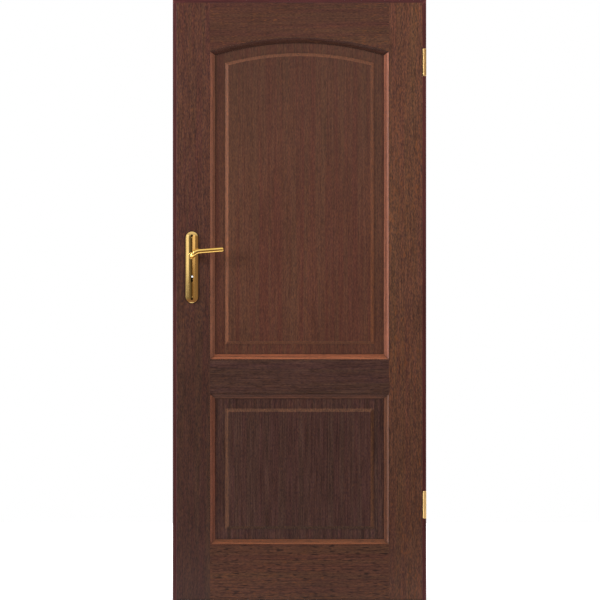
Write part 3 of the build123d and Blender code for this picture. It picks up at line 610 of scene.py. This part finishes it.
# Seals: hollow strips of dark brown rubber, extruded and pushed by their stems into the groove of the stop.
# The closed leaf rests against their round heads.

# Extruded rubber: matt, with a finely pitted skin and a dusty bloom. The pits are drawn 2 mm wide, since the
# real ones are too fine to show.
rubber = clouded_finish(
    "extruded_rubber",
    dark="#211915",
    pale="#3a2e27",
    cloud_mm=2,
    detail=2.0,
    smooth=0.6,
    rough=0.82,
    relief_mm=0.2,
)
dress(rubber, "hinge_side_seal", "lock_side_seal", "head_seal")

# Strike plate: a strip of brass let into the lock jamb, with openings for both bolts.
# It is screwed down flush with two countersunk brass screws.
smear_mm = 26
line_length_mm = 60


def lacquered_brass(name, colour, tarnish, smooth, rough, line_mm, lines):
    """Brass, polished or brushed and lacquered: its gloss comes and goes in smears and fine polishing lines.

    The lines are drawn wider than real ones, which are about 0.1 mm. The tarnish colour shows where the
    lacquer is thin.
    """
    material = bpy.data.materials.new(name)
    material.use_nodes = True
    tree = material.node_tree
    tree.nodes.clear()
    place = add_node(tree, "ShaderNodeTexCoord")
    smear = add_node(
        tree,
        "ShaderNodeTexNoise",
        {"Vector": place.outputs["Object"], "Scale": 1000 / smear_mm, "Detail": 3.0},
    )
    drawn = add_node(
        tree,
        "ShaderNodeVectorMath",
        {0: place.outputs["Object"], 1: (1000 / line_mm, 1000 / line_mm, 1000 / line_length_mm)},
        operation="MULTIPLY",
    )
    line = add_node(tree, "ShaderNodeTexNoise", {"Vector": drawn, "Scale": 1.0, "Detail": 2.0})
    thin = add_node(
        tree, "ShaderNodeMapRange", {"Value": smear, "From Min": 0.5, "From Max": 0.8, "To Max": 0.5}
    )
    tint = add_node(
        tree,
        "ShaderNodeMix",
        {"Factor": thin, "A": linear(colour), "B": linear(tarnish)},
        data_type="RGBA",
    )
    both = add_node(tree, "ShaderNodeMix", {"Factor": lines, "A": smear, "B": line}, data_type="FLOAT")
    gloss = add_node(
        tree,
        "ShaderNodeMapRange",
        {"Value": both, "From Min": 0.3, "From Max": 0.7, "To Min": smooth, "To Max": rough},
    )
    shader = add_node(
        tree,
        "ShaderNodeBsdfPrincipled",
        {"Base Color": tint, "Metallic": 1.0, "Roughness": gloss},
    )
    add_node(tree, "ShaderNodeOutputMaterial", {"Surface": shader})
    return material


# Brushed brass: rubbed upright with a fine abrasive and lacquered, so its gloss breaks up into fine lines.
brushed_brass = lacquered_brass(
    "brushed_brass", "#dcb36b", "#b98a45", smooth=0.24, rough=0.4, line_mm=1.5, lines=0.7
)
dress(brushed_brass, "strike_plate")
low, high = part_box("strike_screws")
middle = (low.y + high.y) / 2
drive_screws(
    "strike_screws",
    "frame",
    brushed_brass,
    length_mm=18,
    places=[((high.x, middle, z), (-1, 0, 0)) for z in (low.z + head_radius, high.z - head_radius)],
)

# Hinges: lift-off hinges of two turned brass knuckles on a steel pin, with a brass washer between them.
# Each knuckle has two studs, screwed into the leaf's lip or the jamb's face.

# Satin brass: bead-blasted before it was lacquered, so a round barrel shades softly from side to side.
satin_brass = lacquered_brass(
    "satin_brass", "#f4cd8c", "#e4b878", smooth=0.46, rough=0.54, line_mm=2.5, lines=0.4
)
dress(
    satin_brass,
    "upper_frame_knuckle",
    "lower_frame_knuckle",
    "upper_leaf_knuckle",
    "lower_leaf_knuckle",
    "hinge_washers",
)
dress(zinc, "hinge_pins")

# Lock: a case folded from steel sheet with a flat cover, which holds the follower and three flat springs.
# It sits in the mortise of the lock stile and shows only through the keyhole.
weld_distance = 1e-6

# Oiled steel: blued in the furnace and oiled, so it is nearly black with a soft, cloudy gloss.
oiled_steel = clouded_finish(
    "oiled_steel",
    dark="#2a2826",
    pale="#3c3833",
    cloud_mm=12,
    detail=3.0,
    smooth=0.35,
    rough=0.55,
    shading={"Metallic": 1.0},
)
dress(oiled_steel, "lock_case", "lock_cover", "follower", "return_spring", "latch_spring", "bolt_spring")

# The latch spring is replaced by a copy of its own, with its doubled points welded, on the leaf.
low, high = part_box("latch_spring")
latch_strip = bpy.data.objects.new("latch_spring_strip", nodes["latch_spring"].data.copy())
scene.collection.objects.link(latch_strip)
welded = bmesh.new()
welded.from_mesh(latch_strip.data)
bmesh.ops.remove_doubles(welded, verts=welded.verts, dist=weld_distance)
welded.to_mesh(latch_strip.data)
welded.free()
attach(latch_strip, "leaf")
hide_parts("latch_spring")
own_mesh(latch_strip)

# Latch and dead bolt: cast brass, with heads ground smooth where they slide through the forend.
# The latch is bevelled, so that it rides over the strike plate when the leaf is pushed shut. The dead bolt
# has a square head, and its tail is notched for the key.

dress(brushed_brass, "latch_bolt", "dead_bolt")

# Forend: the brass strip that closes the mortise on the leaf's edge and carries the lock.
# Two countersunk brass screws hold it in the stile.

dress(brushed_brass, "lock_forend")
low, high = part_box("forend_screws")
middle = (low.y + high.y) / 2
drive_screws(
    "forend_screws",
    "leaf",
    brushed_brass,
    length_mm=26,
    places=[((low.x, middle, z), (1, 0, 0)) for z in (low.z + head_radius, high.z - head_radius)],
)

# Handle plates: brass pressed to a shallow curve with round ends, one on each face of the leaf.
# Each has a nylon bush for the lever's neck, and two wood screws sunk below the curve.

# Polished brass: buffed to a mirror and lacquered, so it shows the room in soft upright bands.
polished_brass = lacquered_brass(
    "polished_brass", "#e9c47d", "#d6a85c", smooth=0.06, rough=0.14, line_mm=2.5, lines=0.4
)
dress(polished_brass, "front_plate", "back_plate")

# Moulded nylon: off-white and faintly cloudy, with the soft gloss that the mould leaves.
nylon = clouded_finish(
    "moulded_nylon",
    dark="#d3cfc2",
    pale="#e4e1d8",
    cloud_mm=5,
    detail=3.0,
    smooth=0.38,
    rough=0.55,
    shading={"IOR": 1.53},
)
dress(nylon, "plate_bushes")

# Dark brass: screw heads painted dark brown as painted shade, so that they read as dark dots on the plates.
recess_shade_brass = lacquered_brass(
    "recess_shade_brass", "#4d3a22", "#33261a", smooth=0.35, rough=0.5, line_mm=1.5, lines=0.5
)
low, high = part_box("plate_screws")
middle = (low.x + high.x) / 2
drive_screws(
    "plate_screws",
    "leaf",
    recess_shade_brass,
    length_mm=23,
    places=[
        ((middle, y, z), (0, way, 0))
        for y, way in ((low.y, 1), (high.y, -1))
        for z in (low.z + head_radius, high.z - head_radius)
    ],
)

# Levers: two brass bars, cast and polished, on a square steel spindle that turns the lock's follower.
# A steel grub screw under each neck holds the lever on the spindle.

# Cast brass: a yellower alloy than the plates', buffed by hand, so its bands run softly into each other.
cast_brass = lacquered_brass(
    "polished_cast_brass", "#ffd478", "#f2b856", smooth=0.11, rough=0.19, line_mm=2.5, lines=0.4
)
dress(cast_brass, "front_lever", "back_lever")
dress(zinc, "spindle", "grub_screws")

# Floor: a sheet of pale painted board that reaches 1 m in front of the door. Its paint is lit, so it keeps
# the door's shadow, and a glow that the camera and glossy surfaces see makes it white. The glow is full
# 2.4 m away, so that the board's far edges go over into the white surround.
floor_reach = 4.0
floor_front = 1.0
glow_grows_from = 0.9
glow_full_from = 2.4
near_glow = 0.55
paint_seen = 0.6
paint_bounced = 0.12

floor_mesh = bpy.data.meshes.new("floor")
floor_mesh.from_pydata(
    [
        (-floor_reach, -floor_front, 0),
        (floor_reach, -floor_front, 0),
        (floor_reach, floor_reach, 0),
        (-floor_reach, floor_reach, 0),
    ],
    [],
    [(0, 1, 2, 3)],
)
floor = bpy.data.objects.new("floor", floor_mesh)
scene.collection.objects.link(floor)
pale = bpy.data.materials.new("pale_floor")
pale.use_nodes = True
pale.node_tree.nodes.clear()
floor.data.materials.append(pale)
floor_path = add_node(pale.node_tree, "ShaderNodeLightPath")
floor_seen = add_node(
    pale.node_tree,
    "ShaderNodeMath",
    {0: floor_path.outputs["Is Camera Ray"], 1: floor_path.outputs["Is Glossy Ray"]},
    operation="MAXIMUM",
)
floor_shown = add_node(
    pale.node_tree,
    "ShaderNodeMath",
    {0: floor_seen, 1: floor_path.outputs["Is Transmission Ray"]},
    operation="MAXIMUM",
)
floor_place = add_node(pale.node_tree, "ShaderNodeTexCoord")
floor_away = add_node(
    pale.node_tree, "ShaderNodeVectorMath", {0: floor_place.outputs["Object"]}, operation="LENGTH"
)
floor_glow = add_node(
    pale.node_tree,
    "ShaderNodeMapRange",
    {
        "Value": floor_away.outputs["Value"],
        "From Min": glow_grows_from,
        "From Max": glow_full_from,
        "To Min": near_glow,
        "To Max": 1.0,
    },
)
floor_share = add_node(
    pale.node_tree, "ShaderNodeMath", {0: floor_shown, 1: floor_glow}, operation="MULTIPLY"
)
floor_white = add_node(
    pale.node_tree, "ShaderNodeEmission", {"Color": (1, 1, 1, 1), "Strength": floor_share}
)
floor_tone = add_node(
    pale.node_tree,
    "ShaderNodeMapRange",
    {"Value": floor_path.outputs["Is Diffuse Ray"], "To Min": paint_seen, "To Max": paint_bounced},
)
floor_paint = add_node(pale.node_tree, "ShaderNodeBsdfDiffuse", {"Color": floor_tone})
floor_sum = add_node(pale.node_tree, "ShaderNodeAddShader", {0: floor_paint, 1: floor_white})
add_node(pale.node_tree, "ShaderNodeOutputMaterial", {"Surface": floor_sum})

# Light: a white surround behind the door, and a dim room in front that only shiny pieces mirror. Soft lamps
# to the left, above and to the right graze the wood, a small one gives the brass its glints, and one lights
# the back. A strip and two windows show in the brass alone.
room_fill = (0.05, 0.05, 0.05, 1)
ceiling_tone = (0.9, 0.9, 0.9, 1)
carpet = "#8f7468"
back_wall_fill = 0.5

world = bpy.data.worlds.new("studio")
world.use_nodes = True
world.node_tree.nodes.clear()
scene.world = world
sky_path = add_node(world.node_tree, "ShaderNodeLightPath")
sky_place = add_node(world.node_tree, "ShaderNodeTexCoord")
sky_axes = add_node(world.node_tree, "ShaderNodeSeparateXYZ", {"Vector": sky_place.outputs["Generated"]})
across, above, below, behind = [
    add_node(
        world.node_tree,
        "ShaderNodeMapRange",
        {"Value": sky_axes.outputs[axis], "From Min": begins, "From Max": full},
    )
    for axis, begins, full in (("X", -1.0, 1.0), ("Z", 0.2, 0.6), ("Z", -0.15, -0.5), ("Y", 0.3, 0.6))
]
room = add_node(world.node_tree, "ShaderNodeValToRGB", {"Fac": across})
room.color_ramp.elements.remove(room.color_ramp.elements[1])
for index, (stop, colour) in enumerate(
    (
        (0.0, "#ffffff"),
        (0.09, "#f4f4f2"),
        (0.14, "#96928a"),
        (0.28, "#86817a"),
        (0.35, "#7a746c"),
        (0.41, "#5c554c"),
        (0.47, "#483c32"),
        (0.55, "#80664a"),
        (0.62, "#9c8672"),
        (0.7, "#8a7a6c"),
        (0.78, "#94816e"),
        (0.88, "#7c655c"),
        (1.0, "#40362e"),
    )
):
    element = room.color_ramp.elements.new(stop) if index else room.color_ramp.elements[0]
    element.position = stop
    element.color = linear(colour)
ceiling = add_node(
    world.node_tree,
    "ShaderNodeMix",
    {"Factor": above, "A": room.outputs["Color"], "B": ceiling_tone},
    data_type="RGBA",
)
carpeted = add_node(
    world.node_tree,
    "ShaderNodeMix",
    {"Factor": below, "A": ceiling, "B": linear(carpet)},
    data_type="RGBA",
)
lit_room = add_node(
    world.node_tree,
    "ShaderNodeMix",
    {"Factor": sky_path.outputs["Is Glossy Ray"], "A": room_fill, "B": carpeted},
    data_type="RGBA",
)
back_wall = add_node(
    world.node_tree,
    "ShaderNodeMapRange",
    {"Value": sky_path.outputs["Is Diffuse Ray"], "To Min": 1.0, "To Max": back_wall_fill},
)
walled = add_node(
    world.node_tree,
    "ShaderNodeMix",
    {"Factor": behind, "A": lit_room, "B": back_wall},
    data_type="RGBA",
)
surround = add_node(
    world.node_tree,
    "ShaderNodeMix",
    {"Factor": sky_path.outputs["Is Camera Ray"], "A": walled, "B": (1, 1, 1, 1)},
    data_type="RGBA",
)
backdrop = add_node(world.node_tree, "ShaderNodeBackground", {"Color": surround, "Strength": 1.0})
add_node(world.node_tree, "ShaderNodeOutputWorld", {"Surface": backdrop})

for name, place, target, size, watts, lights_up, mirrored, colour in (
    ("left_lamp", (-4.0, -1.8, 2.4), (0, 0, 1.4), (2.2, 2.4), 264, True, False, "#ffffff"),
    ("overhead_lamp", (-0.3, -1.4, 4.3), (0, 0, 1.3), (2.0, 0.6), 7, True, False, "#ffffff"),
    ("right_lamp", (4.2, -1.8, 2.4), (0, 0, 1.3), (1.8, 2.2), 171, True, False, "#ffffff"),
    ("glint_lamp", (-3.2, -0.3, 4.0), (-0.37, 0, 1.2), (0.3, 0.3), 12, True, True, "#ffffff"),
    ("rear_lamp", (-1.5, 4.0, 3.2), (0, 0, 1.1), (2.0, 2.0), 130, True, True, "#ffffff"),
    ("left_strip", (-6.0, -0.55, 1.2), (0.43, 0, 1.2), (0.6, 2.6), 70, False, True, "#ffffff"),
    ("left_window", (-2.2, -2.38, 1.88), (-0.37, 0, 1.88), (1.05, 1.5), 5.0, False, True, "#ffffff"),
    ("right_window", (0.34, -2.92, 1.9), (-0.37, 0, 1.9), (1.15, 1.4), 3.9, False, True, "#fff0da"),
):
    light = bpy.data.lights.new(name, "AREA")
    light.shape = "RECTANGLE"
    light.size, light.size_y = size
    light.energy = watts
    light.color = linear(colour)[:3]
    lamp = bpy.data.objects.new(name, light)
    scene.collection.objects.link(lamp)
    lamp.location = place
    direction = Vector(target) - Vector(place)
    lamp.rotation_mode = "QUATERNION"
    lamp.rotation_quaternion = direction.to_track_quat("-Z", "Y")
    lamp.visible_camera = False
    lamp.visible_diffuse = lights_up
    lamp.visible_glossy = mirrored

# Camera: a 200 mm lens 11.5 m in front of the door, level with its middle, so that its sides run parallel
# as they do in the photograph. Its height and distance give the photograph's framing.
lens_mm = 200
sensor_mm = 36
camera_right = 0.0017
camera_away = 11.459
camera_height = 1.0358

camera_data = bpy.data.cameras.new("camera")
camera_data.sensor_width = sensor_mm
camera_data.lens = lens_mm
camera = bpy.data.objects.new("camera", camera_data)
scene.collection.objects.link(camera)
camera.location = (camera_right, -camera_away, camera_height)
camera.rotation_euler = (pi / 2, 0, 0)
scene.camera = camera
scene.view_settings.view_transform = "Standard"
